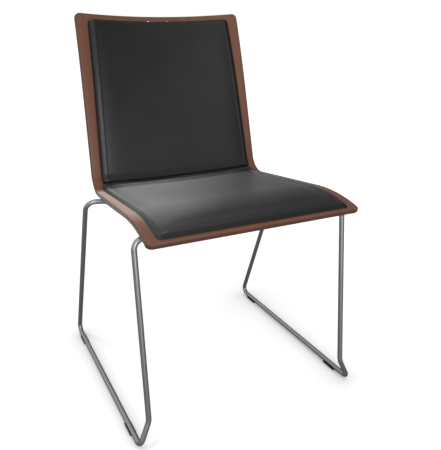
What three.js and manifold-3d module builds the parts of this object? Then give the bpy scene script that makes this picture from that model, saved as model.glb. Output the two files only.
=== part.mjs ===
// Sled base visitor chair.
// One sheet of moulded plywood makes the seat and the back. Two thin upholstered pads are laid into it.
// Each is wrapped round a moulded board, and push-fit studs hold the board in blind holes of the shell.
// Two side frames, each bent from one round steel rod, stand on glides.
// Cranked cross rods under the seat tie them together.
// Lengths are in millimetres. +Z is up, the sitter faces -Y, and left is -X, as seen from in front.

import * as THREE from "three";
import { mergeVertices } from "three/addons/utils/BufferGeometryUtils.js";
import Module from "manifold-3d";

const wasm = await Module();
wasm.setup();

const radians = THREE.MathUtils.degToRad;

// Clearances
const seatGap = 0.3;
const cutOverrun = 2;

// Shell: the profile of its side edge, walked from the front edge of the seat to the top of the back
const seatFrontHeight = 427;
const frontRise = radians(18.5);
const frontRollRadius = 335;
const seatFall = radians(5.2);
const seatFlatLength = 226.9;
const crookRadius = 40;
const lowerBackRise = radians(78);
const lowerBackLength = 164;
const upperBackRadius = 2100;
const upperBackLength = 189.6;

// Shell: widths, hollow across the sitter, thickness and corners
const frontWidth = 448;
const crookWidth = 421;
const topWidth = 397.2;
const crookHollow = 9;
const topHollow = 28;
const seatHollowPower = 1.5;
const backHollowPower = 1.25;
const shellThickness = 10;
const shellEdgeRound = 2.5;
const shellFrontCorner = 17;
const shellTopCorner = 11;

// Pads: their margins inside the edge of the shell, corners and section
const padFrontMargin = 9.5;
const padTopMargin = 13;
const seatPadFrontMargin = 20.4;
const seatPadRearMargin = 15.1;
const backPadLowMargin = 18.2;
const backPadTopMargin = 24.2;
const padJointTurn = radians(42);
const padJointGap = 4;
const padOuterCorner = 16;
const padInnerCorner = 9;
const padEdgeHeight = 1.8;
const padTuck = 0.8;
const seatPadShoulder = { height: 6.6, width: 14, power: 1.5, crown: 5 };
const backPadShoulder = { height: 13, width: 11, power: 2.4, crown: 4 };

// Pad boards and the push-fit studs that hold them
const boardInset = 13.3;
const boardThickness = 3.2;
const boardCorner = 6;
const studShankRadius = 3.75;
const studShankDepth = 6.5;
const studHeadSink = 0.5;
const studSideShare = 0.62;
const studEndShares = [0.2, 0.8];

// Side frames: rod, places of their corners and bend radii
const rodRadius = 5.5;
const soleThickness = 3;
const runnerSpacing = 499;
const runnerLength = 495.4;
const frontFootSetback = 23.3;
const crankSpacing = 456;
const crankSetback = 5;
const crankRise = 48.7;
const frontArmSetback = 40;
const frontArmDrop = 14;
const rearArmSetback = 313;
const rearArmDrop = 1.7;
const rearShoulderSpacing = 489.4;
const railSpacing = 400;
const railKinkSetback = 108;
const footBend = 13;
const rearFootBend = 15;
const crankBend = 34;
const frontArmBend = 19;
const rearArmBend = 21;
const railBend = 12;
const railKinkBend = 80;
const railWeldSetback = 205;
const bendStep = radians(17);

// Cross rods
const crossRodSetbacks = [152, 256];
const crossRodDrop = 15;
const crossRodCrankInset = 42;
const crossRodBend = 22;

// Mounting plates, screws and threaded inserts
const plateThickness = 2.6;
const plateLength = 28;
const railPlateGap = 0.55;
const plateInnerInset = 34;
const plateCorner = 4;
const frontPlateSetback = 125;
const rearPlateSetback = 283;
const screwInset = 20;
const screwShankRadius = 3;
const screwShankLength = 10.4;
const screwHeadRadius = 5.25;
const screwHeadHeight = 3.3;
const screwSocketRadius = 2.3;
const screwSocketDepth = 2;
const screwDomeShares = [[0.6, 1], [0.88, 0.7], [1, 0.3]];
const insertRadius = 4.7;
const insertLength = 7.6;
const insertRecess = 0.3;

// Glides
const glideLength = 38;
const frontGlideInset = 64;
const rearGlideInset = 54.4;
const glideWall = 1.9;
const glideSoleWidth = 11.2;
const glideLipTurn = radians(-16);
const glideFlankTurn = radians(38);

// How finely round shapes are faceted
const rodSides = 12;
const shellColumns = 14;
const padColumns = 10;
const cornerSteps = 4;
const longestRow = 28;
const sharpestRow = radians(7);
const roundSides = 12;
const walkHalvings = 40;

// Finishes
const wood = new THREE.MeshStandardMaterial({ color: 0x7d5846, roughness: 0.45, metalness: 0 });
const cover = new THREE.MeshStandardMaterial({ color: 0x35363a, roughness: 0.5, metalness: 0 });
const board = new THREE.MeshStandardMaterial({ color: 0xb08d62, roughness: 0.8, metalness: 0 });
const steel = new THREE.MeshStandardMaterial({ color: 0x9a9b9c, roughness: 0.35, metalness: 1 });
const zinc = new THREE.MeshStandardMaterial({ color: 0xb4b6b8, roughness: 0.4, metalness: 1 });
const plastic = new THREE.MeshStandardMaterial({ color: 0x17181a, roughness: 0.6, metalness: 0 });

const chair = new THREE.Group();

function addPiece(name, geometry, material) {
  const piece = new THREE.Mesh(geometry, material);
  piece.name = name;
  chair.add(piece);
  return piece;
}

// Joining and cutting

function toSolid(geometry) {
  const bare = geometry.clone();
  bare.deleteAttribute("normal");
  bare.deleteAttribute("uv");
  const merged = mergeVertices(bare);
  const vertProperties = merged.attributes.position.array;
  const triVerts = new Uint32Array(merged.index.array);
  return new wasm.Manifold(new wasm.Mesh({ numProp: 3, vertProperties, triVerts }));
}

function toGeometry(solid) {
  const mesh = solid.getMesh();
  const geometry = new THREE.BufferGeometry();
  geometry.setAttribute("position", new THREE.BufferAttribute(mesh.vertProperties, 3));
  geometry.setIndex(new THREE.BufferAttribute(mesh.triVerts, 1));
  geometry.computeVertexNormals();
  return geometry;
}

function cut(geometry, tools) {
  const solid = tools.reduce((left, tool) => left.subtract(toSolid(tool)), toSolid(geometry));
  return toGeometry(solid);
}

// The shell's surface: s is the length walked along its side edge from the front, and x the place across

const profileParts = [
  { length: frontRollRadius * (frontRise + seatFall), curve: -1 / frontRollRadius },
  { length: seatFlatLength, curve: 0 },
  { length: crookRadius * (seatFall + lowerBackRise), curve: 1 / crookRadius },
  { length: lowerBackLength, curve: 0 },
  { length: upperBackLength, curve: -1 / upperBackRadius },
];
const shellLength = profileParts.reduce((sum, part) => sum + part.length, 0);
const crookStart = profileParts[0].length + profileParts[1].length;
const crookEnd = crookStart + profileParts[2].length;
const crookMiddle = (crookStart + crookEnd) / 2;

function profileAt(s) {
  let y = 0;
  let z = seatFrontHeight;
  let heading = frontRise;
  let left = s;
  for (const part of profileParts) {
    const isLast = part === profileParts[profileParts.length - 1];
    const run = isLast ? left : Math.min(left, part.length);
    const turned = heading + run * part.curve;
    if (part.curve === 0) {
      y += run * Math.cos(heading);
      z += run * Math.sin(heading);
    } else {
      y += (Math.sin(turned) - Math.sin(heading)) / part.curve;
      z += (Math.cos(heading) - Math.cos(turned)) / part.curve;
    }
    heading = turned;
    left -= run;
    if (left <= 0) break;
  }
  return { y, z, heading };
}

function shellHalfWidth(s) {
  if (s < crookMiddle) return THREE.MathUtils.lerp(frontWidth, crookWidth, s / crookMiddle) / 2;
  return THREE.MathUtils.lerp(crookWidth, topWidth, (s - crookMiddle) / (shellLength - crookMiddle)) / 2;
}

// How far the middle of the sheet lies behind its side edges
function hollowAt(s) {
  if (s < crookEnd) return crookHollow * (Math.max(s, 0) / crookEnd) ** seatHollowPower;
  const share = (s - crookEnd) / (shellLength - crookEnd);
  return crookHollow + (topHollow - crookHollow) * share ** backHollowPower;
}

function shellPoint(x, s) {
  const { y, z, heading } = profileAt(s);
  const depth = hollowAt(s) * (1 - (x / shellHalfWidth(s)) ** 2);
  return new THREE.Vector3(x, y + depth * Math.sin(heading), z - depth * Math.cos(heading));
}

// A frame that stands on the sheet: its Z is square to the sheet, towards the sitter, and its X runs across
function shellFrame(x, s, height) {
  const probe = shellThickness / 100;
  const across = shellPoint(x + probe, s).sub(shellPoint(x - probe, s)).normalize();
  const along = shellPoint(x, s + probe).sub(shellPoint(x, s - probe)).normalize();
  const out = new THREE.Vector3().crossVectors(across, along).normalize();
  along.crossVectors(out, across);
  const origin = shellPoint(x, s).addScaledVector(out, height);
  return new THREE.Matrix4().makeBasis(across, along, out).setPosition(origin);
}

function onShell(x, s, height) {
  return new THREE.Vector3().setFromMatrixPosition(shellFrame(x, s, height));
}

// The length along the edge at which the seat reaches a setback from the front edge
function seatWalk(setback) {
  let low = 0;
  let high = crookStart;
  for (let halving = 0; halving < walkHalvings; halving += 1) {
    const middle = (low + high) / 2;
    if (profileAt(middle).y < setback) low = middle;
    else high = middle;
  }
  return (low + high) / 2;
}

function standOnShell(piece, x, s, height) {
  piece.applyMatrix4(shellFrame(x, s, height));
  return piece;
}

// Panels that follow the sheet: the shell itself, the pads and the pad boards

const panelEndZone = Math.max(seatPadShoulder.width, shellFrontCorner, padOuterCorner) + shellThickness;

function middleRows(panel) {
  const first = panel.start + panelEndZone;
  const last = panel.end - panelEndZone;
  const rows = [first];
  let walked = 0;
  for (const part of profileParts) {
    const turn = Math.abs(part.curve) * part.length;
    const steps = Math.ceil(Math.max(part.length / longestRow, turn / sharpestRow));
    for (let step = 1; step <= steps; step += 1) {
      const s = walked + (part.length * step) / steps;
      const isClear = s > first + shellThickness / 2 && s < last - shellThickness / 2;
      if (isClear) rows.push(s);
    }
    walked += part.length;
  }
  rows.push(last);
  return rows;
}

// Rows of a panel whose outline is drawn in by an inset: the place along the sheet and the half width
function panelRows(panel, inset) {
  const startRadius = Math.max(panel.startCorner - inset, padEdgeHeight);
  const endRadius = Math.max(panel.endCorner - inset, padEdgeHeight);
  const rows = [];
  for (let step = 0; step <= cornerSteps; step += 1) {
    const turn = ((Math.PI / 2) * step) / cornerSteps;
    const s = panel.start + inset + startRadius * (1 - Math.cos(turn));
    rows.push({ s, half: panel.halfWidth(s) - inset - startRadius * (1 - Math.sin(turn)) });
  }
  for (const s of middleRows(panel)) rows.push({ s, half: panel.halfWidth(s) - inset });
  for (let step = cornerSteps; step >= 0; step -= 1) {
    const turn = ((Math.PI / 2) * step) / cornerSteps;
    const s = panel.end - inset - endRadius * (1 - Math.cos(turn));
    rows.push({ s, half: panel.halfWidth(s) - inset - endRadius * (1 - Math.sin(turn)) });
  }
  return rows;
}

// One layer of a panel, as rows of points at a height over the sheet, with a crown that swells its middle
function panelLayer(panel, { inset, height, crown = 0 }) {
  const rows = panelRows(panel, inset);
  const first = rows[0].s;
  const span = rows[rows.length - 1].s - first;
  return rows.map(({ s, half }) => {
    const lengthShare = (2 * (s - first)) / span - 1;
    const points = [];
    for (let column = 0; column <= panel.columns; column += 1) {
      const share = (2 * column) / panel.columns - 1;
      const swell = crown * (1 - share ** 2) * (1 - lengthShare ** 4);
      points.push(onShell(share * half, s, height + swell));
    }
    return points;
  });
}

function outlineOf(layer) {
  const last = layer.length - 1;
  const inner = layer.slice(1, last);
  const rightSide = inner.map((row) => row[row.length - 1]);
  const leftSide = inner.map((row) => row[0]).reverse();
  return [...layer[0], ...rightSide, ...[...layer[last]].reverse(), ...leftSide];
}

// A closed solid from layers given from the top down: its two faces and the bands between their outlines
function panelSolid(panel, layers) {
  const positions = [];
  const quad = (a, b, c, d) => {
    for (const point of [a, b, c, a, c, d]) positions.push(point.x, point.y, point.z);
  };
  const made = layers.map((layer) => panelLayer(panel, layer));
  const face = (layer, isTop) => {
    for (let row = 1; row < layer.length; row += 1) {
      for (let column = 1; column <= panel.columns; column += 1) {
        const near = layer[row - 1];
        const far = layer[row];
        if (isTop) quad(near[column - 1], near[column], far[column], far[column - 1]);
        else quad(near[column - 1], far[column - 1], far[column], near[column]);
      }
    }
  };
  face(made[0], true);
  for (let band = 1; band < made.length; band += 1) {
    const upper = outlineOf(made[band - 1]);
    const lower = outlineOf(made[band]);
    upper.forEach((point, index) => {
      const next = (index + 1) % upper.length;
      quad(point, lower[index], lower[next], upper[next]);
    });
  }
  face(made[made.length - 1], false);
  const geometry = new THREE.BufferGeometry();
  geometry.setAttribute("position", new THREE.Float32BufferAttribute(positions, 3));
  geometry.computeVertexNormals();
  return geometry;
}

function taperedInside(start, startMargin, end, endMargin) {
  return (s) => {
    const share = (s - start) / (end - start);
    return shellHalfWidth(s) - THREE.MathUtils.lerp(startMargin, endMargin, share);
  };
}

const padJoint = crookStart + crookRadius * padJointTurn;
const seatPadEnd = padJoint - padJointGap;
const backPadEnd = shellLength - padTopMargin;
const shellPanel = {
  columns: shellColumns,
  start: 0,
  end: shellLength,
  startCorner: shellFrontCorner,
  endCorner: shellTopCorner,
  halfWidth: shellHalfWidth,
};
const seatPanel = {
  columns: padColumns,
  start: padFrontMargin,
  end: seatPadEnd,
  startCorner: padOuterCorner,
  endCorner: padInnerCorner,
  halfWidth: taperedInside(padFrontMargin, seatPadFrontMargin, seatPadEnd, seatPadRearMargin),
};
const backPanel = {
  columns: padColumns,
  start: padJoint,
  end: backPadEnd,
  startCorner: padInnerCorner,
  endCorner: padOuterCorner,
  halfWidth: taperedInside(padJoint, backPadLowMargin, backPadEnd, backPadTopMargin),
};

// A turned piece from a half section of radius and height pairs, standing on its own Z axis
function turned(section) {
  const outline = section.map(([radius, height]) => new THREE.Vector2(radius, height));
  return new THREE.LatheGeometry(outline, roundSides).rotateX(Math.PI / 2);
}

function drill(radius, from, to) {
  return turned([[0, from], [radius, from], [radius, to], [0, to]]);
}

// Push-fit studs: places on each pad, and the holes that they need

function studPlaces(panel) {
  const places = [];
  for (const endShare of studEndShares) {
    const s = THREE.MathUtils.lerp(panel.start, panel.end, endShare);
    const reach = studSideShare * panel.halfWidth(s);
    places.push({ x: -reach, s }, { x: reach, s });
  }
  return places;
}

const boardTop = seatGap + boardThickness;
const studTop = boardTop - studHeadSink;

function makeStud() {
  const lead = studShankRadius / 3;
  return turned([
    [0, -studShankDepth],
    [studShankRadius - lead, -studShankDepth],
    [studShankRadius, lead - studShankDepth],
    [studShankRadius, studTop],
    [0, studTop],
  ]);
}

function boardHoles(panel) {
  return studPlaces(panel).map(({ x, s }) => {
    const hole = drill(studShankRadius + seatGap, -cutOverrun, boardTop + cutOverrun);
    return hole.applyMatrix4(shellFrame(x, s, 0));
  });
}

function shellStudHoles(panel) {
  return studPlaces(panel).map(({ x, s }) => {
    const hole = drill(studShankRadius + seatGap, -studShankDepth - seatGap, cutOverrun);
    return hole.applyMatrix4(shellFrame(x, s, 0));
  });
}

// The fixings under the seat: where each stands on the shell
const fixings = [];
for (const [end, setback] of [["front", frontPlateSetback], ["rear", rearPlateSetback]]) {
  for (const [sideName, side] of [["left", -1], ["right", 1]]) {
    const x = side * (railSpacing / 2 - screwInset);
    fixings.push({ name: `${end}_${sideName}`, end, side, x, s: seatWalk(frontFootSetback + setback) });
  }
}

function shellInsertHoles() {
  return fixings.map(({ x, s }) => {
    const depth = insertRecess + insertLength + seatGap;
    const hole = drill(insertRadius + seatGap, -shellThickness - cutOverrun, depth - shellThickness);
    return hole.applyMatrix4(shellFrame(x, s, 0));
  });
}

// Shell

const halfTurnShare = 1 - Math.SQRT1_2;
const shellBlank = panelSolid(shellPanel, [
  { inset: shellEdgeRound, height: 0 },
  { inset: shellEdgeRound * halfTurnShare, height: -shellEdgeRound * halfTurnShare },
  { inset: 0, height: -shellEdgeRound },
  { inset: 0, height: shellEdgeRound - shellThickness },
  { inset: shellEdgeRound * halfTurnShare, height: shellEdgeRound * halfTurnShare - shellThickness },
  { inset: shellEdgeRound, height: -shellThickness },
]);
addPiece(
  "seat_shell",
  cut(shellBlank, [...shellStudHoles(seatPanel), ...shellStudHoles(backPanel), ...shellInsertHoles()]),
  wood,
);

// Pads: low sewn edges, a rolled shoulder, a crown, and a recess under them for the board

const shoulderShares = [0.62, 0.32, 0.11];

function padLayers({ height, width, power, crown }) {
  const recess = boardInset - seatGap;
  const shoulder = shoulderShares.map((share) => {
    const rise = (height - padEdgeHeight) * (1 - (1 - share) ** power);
    return { inset: share * width, height: padEdgeHeight + rise };
  });
  return [
    { inset: width, height, crown },
    ...shoulder,
    { inset: 0, height: padEdgeHeight },
    { inset: padTuck, height: seatGap },
    { inset: recess, height: seatGap },
    { inset: recess, height: boardTop + seatGap },
  ];
}

function addPad(name, panel, shoulder) {
  addPiece(name, panelSolid(panel, padLayers(shoulder)), cover);
  const boardPanel = { ...panel, startCorner: boardInset + boardCorner, endCorner: boardInset + boardCorner };
  const blank = panelSolid(boardPanel, [
    { inset: boardInset, height: boardTop },
    { inset: boardInset, height: seatGap },
  ]);
  addPiece(`${name}_board`, cut(blank, boardHoles(panel)), board);
  studPlaces(panel).forEach(({ x, s }, index) => {
    standOnShell(addPiece(`${name}_stud_${index + 1}`, makeStud(), plastic), x, s, 0);
  });
}

addPad("seat_pad", seatPanel, seatPadShoulder);
addPad("back_pad", backPanel, backPadShoulder);

// Bent rods: corner points with a bend radius at each become stations along the straights and bends

class RodPath extends THREE.Curve {
  constructor(stations) {
    super();
    this.stations = stations;
  }

  getUtoTmapping(u) {
    return u;
  }

  getPoint(t, target = new THREE.Vector3()) {
    return this.blend(t, "place", target);
  }

  getTangent(t, target = new THREE.Vector3()) {
    return this.blend(t, "heading", target).normalize();
  }

  blend(t, key, target) {
    const steps = this.stations.length - 1;
    const index = Math.min(Math.floor(t * steps), steps - 1);
    const share = t * steps - index;
    return target.lerpVectors(this.stations[index][key], this.stations[index + 1][key], share);
  }
}

function rodStations(corners) {
  const stations = [];
  const place = (corner) => new THREE.Vector3(...corner.at);
  const count = corners.length;
  const first = place(corners[0]);
  const opening = place(corners[1]).sub(first).normalize();
  stations.push({ place: first, heading: opening });
  for (let index = 1; index < count - 1; index += 1) {
    const corner = place(corners[index]);
    const inward = corner.clone().sub(place(corners[index - 1])).normalize();
    const outward = place(corners[index + 1]).sub(corner).normalize();
    const turn = inward.angleTo(outward);
    const radius = corners[index].bend;
    const start = corner.clone().addScaledVector(inward, -radius * Math.tan(turn / 2));
    const side = outward.clone().addScaledVector(inward, -Math.cos(turn)).normalize();
    const centre = start.clone().addScaledVector(side, radius);
    const steps = Math.max(Math.ceil(turn / bendStep), 2);
    for (let step = 0; step <= steps; step += 1) {
      const angle = (turn * step) / steps;
      const spot = centre
        .clone()
        .addScaledVector(side, -radius * Math.cos(angle))
        .addScaledVector(inward, radius * Math.sin(angle));
      const heading = inward.clone().multiplyScalar(Math.cos(angle)).addScaledVector(side, Math.sin(angle));
      stations.push({ place: spot, heading });
    }
  }
  const last = place(corners[count - 1]);
  const closing = last.clone().sub(place(corners[count - 2])).normalize();
  stations.push({ place: last, heading: closing });
  return stations;
}

function roundSection(radius) {
  const points = [];
  for (let side = 0; side < rodSides; side += 1) {
    const angle = (2 * Math.PI * side) / rodSides;
    points.push(new THREE.Vector2(radius * Math.cos(angle), radius * Math.sin(angle)));
  }
  return new THREE.Shape(points);
}

function bentRod(corners, radius = rodRadius) {
  const stations = rodStations(corners);
  return new THREE.ExtrudeGeometry(roundSection(radius), {
    steps: stations.length - 1,
    extrudePath: new RodPath(stations),
    bevelEnabled: false,
  });
}

// Side frames. The crank's height is taken from the middle of the runner, which lies on the glides.
// The arms at the top of the legs are placed by how far they drop below the underside of the shell.

const runnerHeight = rodRadius + soleThickness;
const underside = (x, setback) => onShell(x, seatWalk(setback), -shellThickness).z;
const railX = railSpacing / 2;
const railRearY = frontFootSetback + rearArmSetback;
const railRearZ = underside(railX - rodRadius, railRearY) - seatGap - rodRadius;
const plateStack = plateThickness + seatGap + railPlateGap;
const railFrontY = frontFootSetback + railKinkSetback;
const frontPlateY = frontFootSetback + frontPlateSetback;
const railPlateZ = underside(railX, frontPlateY) - plateStack - rodRadius;
const railSlope = (railPlateZ - railRearZ) / (railRearY - frontPlateY);

function railHeight(y) {
  return railRearZ + railSlope * (railRearY - y);
}

function sideFrameCorners(side) {
  const footY = frontFootSetback;
  const armY = frontFootSetback + frontArmSetback;
  const armZ = underside(railX, armY) - frontArmDrop;
  const shoulderZ = underside(railX, railRearY) - rearArmDrop;
  const weldY = frontFootSetback + railWeldSetback;
  const sideRailX = side * railX;
  const legX = (side * crankSpacing) / 2;
  const runnerX = (side * runnerSpacing) / 2;
  const shoulderX = (side * rearShoulderSpacing) / 2;
  const onRail = (y) => [sideRailX, y, railHeight(y)];
  return [
    { at: onRail(weldY - seatGap / 2) },
    { at: onRail(railFrontY), bend: railKinkBend },
    { at: [sideRailX, armY, armZ], bend: railBend },
    { at: [legX, armY, armZ], bend: frontArmBend },
    { at: [legX, footY + crankSetback, runnerHeight + crankRise], bend: crankBend },
    { at: [runnerX, footY, runnerHeight], bend: footBend },
    { at: [runnerX, footY + runnerLength, runnerHeight], bend: rearFootBend },
    { at: [shoulderX, railRearY, shoulderZ], bend: rearArmBend },
    { at: [sideRailX, railRearY, railRearZ], bend: railBend },
    { at: onRail(weldY + seatGap / 2) },
  ];
}

addPiece("left_sled_rod", bentRod(sideFrameCorners(-1)), steel);
addPiece("right_sled_rod", bentRod(sideFrameCorners(1)), steel);

// Cross rods: cranked down in the middle to clear the hollow of the seat, with their ends coped to the rails

function railClearance(side, y) {
  const reach = crossRodCrankInset;
  const from = [side * railX, y - reach, railHeight(y - reach)];
  const to = [side * railX, y + reach, railHeight(y + reach)];
  return bentRod([{ at: from }, { at: to }], rodRadius / Math.cos(Math.PI / rodSides) + seatGap);
}

function addCrossRod(name, setback) {
  const y = frontFootSetback + setback;
  const endZ = railHeight(y);
  const low = endZ - crossRodDrop;
  const crankX = railX - crossRodCrankInset;
  const rod = bentRod([
    { at: [-railX, y, endZ] },
    { at: [-crankX, y, low], bend: crossRodBend },
    { at: [crankX, y, low], bend: crossRodBend },
    { at: [railX, y, endZ] },
  ]);
  addPiece(name, cut(rod, [railClearance(-1, y), railClearance(1, y)]), steel);
}

addCrossRod("front_cross_rod", crossRodSetbacks[0]);
addCrossRod("rear_cross_rod", crossRodSetbacks[1]);

// Mounting plates: the front pair lie over the rails, and the rear pair tuck in beside them

function plateOuterReach(fixing) {
  if (fixing.end === "front") return screwInset + rodRadius;
  const rises = [-1, 1].map((end) => {
    const y = profileAt(fixing.s).y + (end * plateLength) / 2;
    return underside(railX, y) - seatGap - plateThickness - railHeight(y);
  });
  const flank = Math.sqrt(Math.max((rodRadius + seatGap) ** 2 - Math.min(...rises) ** 2, 0));
  return screwInset - flank - seatGap;
}

function makePlate(fixing) {
  const outer = plateOuterReach(fixing);
  const inner = screwInset - plateInnerInset;
  const half = plateLength / 2;
  const shape = new THREE.Shape();
  shape.moveTo(inner + plateCorner, -half);
  shape.lineTo(outer, -half);
  shape.lineTo(outer, half);
  shape.lineTo(inner + plateCorner, half);
  shape.absarc(inner + plateCorner, half - plateCorner, plateCorner, Math.PI / 2, Math.PI, false);
  shape.absarc(inner + plateCorner, plateCorner - half, plateCorner, Math.PI, 1.5 * Math.PI, false);
  const hole = new THREE.Path();
  hole.absarc(0, 0, screwShankRadius + seatGap, 0, 2 * Math.PI, true);
  shape.holes.push(hole);
  const plate = new THREE.ExtrudeGeometry(shape, {
    depth: plateThickness,
    bevelEnabled: false,
    curveSegments: 4,
  });
  return fixing.side > 0 ? plate : plate.rotateZ(Math.PI);
}

// Threaded inserts and the button-head screws, drawn upright under the shell

function makeInsert() {
  const bore = screwShankRadius + seatGap;
  return turned([
    [bore, 0],
    [insertRadius, 0],
    [insertRadius, insertLength],
    [bore, insertLength],
    [bore, 0],
  ]);
}

function makeScrew() {
  const dome = screwDomeShares.map(([across, down]) => [across * screwHeadRadius, -down * screwHeadHeight]);
  const body = turned([
    [0, -screwHeadHeight],
    ...dome,
    [screwHeadRadius, 0],
    [screwShankRadius, 0],
    [screwShankRadius, screwShankLength],
    [0, screwShankLength],
  ]);
  const socketLength = screwSocketDepth + cutOverrun;
  const socket = new THREE.CylinderGeometry(screwSocketRadius, screwSocketRadius, socketLength, 6);
  socket.rotateX(Math.PI / 2);
  socket.translate(0, 0, screwSocketDepth - screwHeadHeight - socketLength / 2);
  return cut(body, [socket]);
}

for (const fixing of fixings) {
  const { name, x, s } = fixing;
  const plateFoot = -shellThickness - seatGap - plateThickness;
  standOnShell(addPiece(`${name}_plate`, makePlate(fixing), steel), x, s, plateFoot);
  standOnShell(addPiece(`${name}_insert`, makeInsert(), zinc), x, s, insertRecess - shellThickness);
  standOnShell(addPiece(`${name}_screw`, makeScrew(), zinc), x, s, plateFoot - seatGap);
}

// Glides: saddles that hold the runner from below and end in a flat sole, one near each end of the runner

const glideSetbacks = [frontGlideInset, runnerLength - rearGlideInset];

function makeGlide() {
  const inner = rodRadius + seatGap;
  const outer = inner + glideWall;
  const soleHalf = glideSoleWidth / 2;
  const shape = new THREE.Shape();
  shape.absarc(0, 0, outer, glideLipTurn, -glideFlankTurn, true);
  shape.lineTo(soleHalf, -runnerHeight);
  shape.lineTo(-soleHalf, -runnerHeight);
  shape.absarc(0, 0, outer, Math.PI + glideFlankTurn, Math.PI - glideLipTurn, true);
  shape.absarc(0, 0, inner, Math.PI - glideLipTurn, 2 * Math.PI + glideLipTurn, false);
  const glide = new THREE.ExtrudeGeometry(shape, {
    depth: glideLength,
    bevelEnabled: false,
    curveSegments: 5,
  });
  return glide.translate(0, 0, -glideLength / 2).rotateX(Math.PI / 2);
}

for (const [sideName, side] of [["left", -1], ["right", 1]]) {
  for (const [index, end] of ["front", "rear"].entries()) {
    const glide = addPiece(`${end}_${sideName}_glide`, makeGlide(), plastic);
    glide.position.set((side * runnerSpacing) / 2, frontFootSetback + glideSetbacks[index], runnerHeight);
  }
}

// The origin is in the middle of the chair's footprint box, on the floor
const box = new THREE.Box3().setFromObject(chair, true);
const middle = box.getCenter(new THREE.Vector3());
for (const piece of chair.children) {
  piece.position.y -= middle.y;
  piece.position.z -= box.min.z;
}

export default chair;
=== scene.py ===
# %% [markdown]
# # A sled base visitor chair
# A single sheet of moulded plywood, veneered in walnut, makes the seat and the back. Two thin upholstered
# pads lie in it, and two bent steel rods carry it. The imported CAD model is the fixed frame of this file.
# Every piece here is built round it, in metres, with +Z up and the sitter facing -Y.
# Left is -X, as seen from in front.

import math

import bmesh
import bpy
import numpy as np
from mathutils import Matrix, Vector


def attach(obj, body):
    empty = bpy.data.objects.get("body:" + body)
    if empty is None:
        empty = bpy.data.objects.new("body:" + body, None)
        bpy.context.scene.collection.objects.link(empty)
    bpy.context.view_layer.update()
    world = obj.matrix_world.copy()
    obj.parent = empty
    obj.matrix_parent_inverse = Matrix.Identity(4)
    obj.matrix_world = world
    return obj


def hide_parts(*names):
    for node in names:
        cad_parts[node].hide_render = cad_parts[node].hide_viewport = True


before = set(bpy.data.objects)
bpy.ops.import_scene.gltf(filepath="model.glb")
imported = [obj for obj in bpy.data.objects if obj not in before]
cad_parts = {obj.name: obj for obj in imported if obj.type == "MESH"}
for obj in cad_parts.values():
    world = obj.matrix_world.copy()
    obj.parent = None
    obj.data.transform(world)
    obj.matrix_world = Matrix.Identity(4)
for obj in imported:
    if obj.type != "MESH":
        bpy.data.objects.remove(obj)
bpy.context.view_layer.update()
print("CAD nodes:", len(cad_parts))

# %% [markdown]
# ## Working by operators
# An operator acts on all that is selected, and a freshly loaded frame is selected all over.
# So each step first selects one piece alone. Inside edit mode, a small test picks edges or faces by place.

# %% Select one piece, or the parts of it that pass a test
MM = 0.001
MERGE = 0.01 * MM


def only(piece):
    bpy.ops.object.select_all(action="DESELECT")
    piece.select_set(True)
    bpy.context.view_layer.objects.active = piece


def named(name):
    piece = bpy.context.object
    piece.name = name
    piece.data.name = name
    return piece


def apply_transform():
    bpy.ops.object.transform_apply(location=True, rotation=True, scale=True)


def edit_all():
    bpy.ops.object.mode_set(mode="EDIT")
    bpy.ops.mesh.select_all(action="SELECT")


def leave_edit_mode():
    bpy.ops.object.mode_set(mode="OBJECT")


def choose(kind, test):
    """In edit mode, selects just the edges or faces that pass a test."""
    bpy.ops.mesh.select_mode(type=kind)
    bpy.ops.mesh.select_all(action="DESELECT")
    mesh = bmesh.from_edit_mesh(bpy.context.object.data)
    for part in {"EDGE": mesh.edges, "FACE": mesh.faces}[kind]:
        if test(part):
            part.select_set(True)
    bmesh.update_edit_mesh(bpy.context.object.data)


def points_of(piece):
    flat = np.zeros(len(piece.data.vertices) * 3)
    piece.data.vertices.foreach_get("co", flat)
    return flat.reshape(-1, 3)


def set_points(piece, points):
    piece.data.vertices.foreach_set("co", np.ascontiguousarray(points, float).ravel())
    piece.data.update()


def smooth(piece, angle):
    only(piece)
    bpy.ops.object.shade_smooth_by_angle(angle=math.radians(angle))


def new_modifier(piece, kind):
    only(piece)
    bpy.ops.object.modifier_add(type=kind)
    return piece.modifiers[-1]


def apply_modifier(modifier):
    bpy.ops.object.modifier_apply(modifier=modifier.name)


bpy.ops.object.select_all(action="DESELECT")

# %% [markdown]
# ## The sheet
# Real shells like this one are pressed: flat veneers, spread with glue, go between two hot moulds.
# The model is made in the same way. Each panel is first laid out flat, with X across, S along its side edge
# and H as the height over its face, and a mould then bends it. The mould is the profile of the side edge,
# walked from the front of the seat to the top of the back, and a hollow across the sitter's back.
# A grid could be bent with lattices or curve modifiers instead, but a formula keeps every thickness exact,
# and pads laid out flat then follow the wood with no fitting.

# %% The profile of the side edge
SHELL_MIDDLE_Y = 260.807 * MM
SEAT_FRONT_HEIGHT = 427 * MM
FRONT_RISE = math.radians(18.5)
SEAT_FALL = math.radians(5.2)
LOWER_BACK_RISE = math.radians(78)
FRONT_ROLL = 335 * MM
CROOK = 40 * MM
UPPER_BACK = 2100 * MM
PROFILE = [
    (FRONT_ROLL * (FRONT_RISE + SEAT_FALL), -1 / FRONT_ROLL),
    (226.9 * MM, 0),
    (CROOK * (SEAT_FALL + LOWER_BACK_RISE), 1 / CROOK),
    (164 * MM, 0),
    (189.6 * MM, -1 / UPPER_BACK),
]
LENGTHS = [length for length, curve in PROFILE]
SHELL_LENGTH = sum(LENGTHS)
CROOK_START = sum(LENGTHS[:2])
CROOK_END = sum(LENGTHS[:3])
CROOK_MIDDLE = (CROOK_START + CROOK_END) / 2


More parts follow.
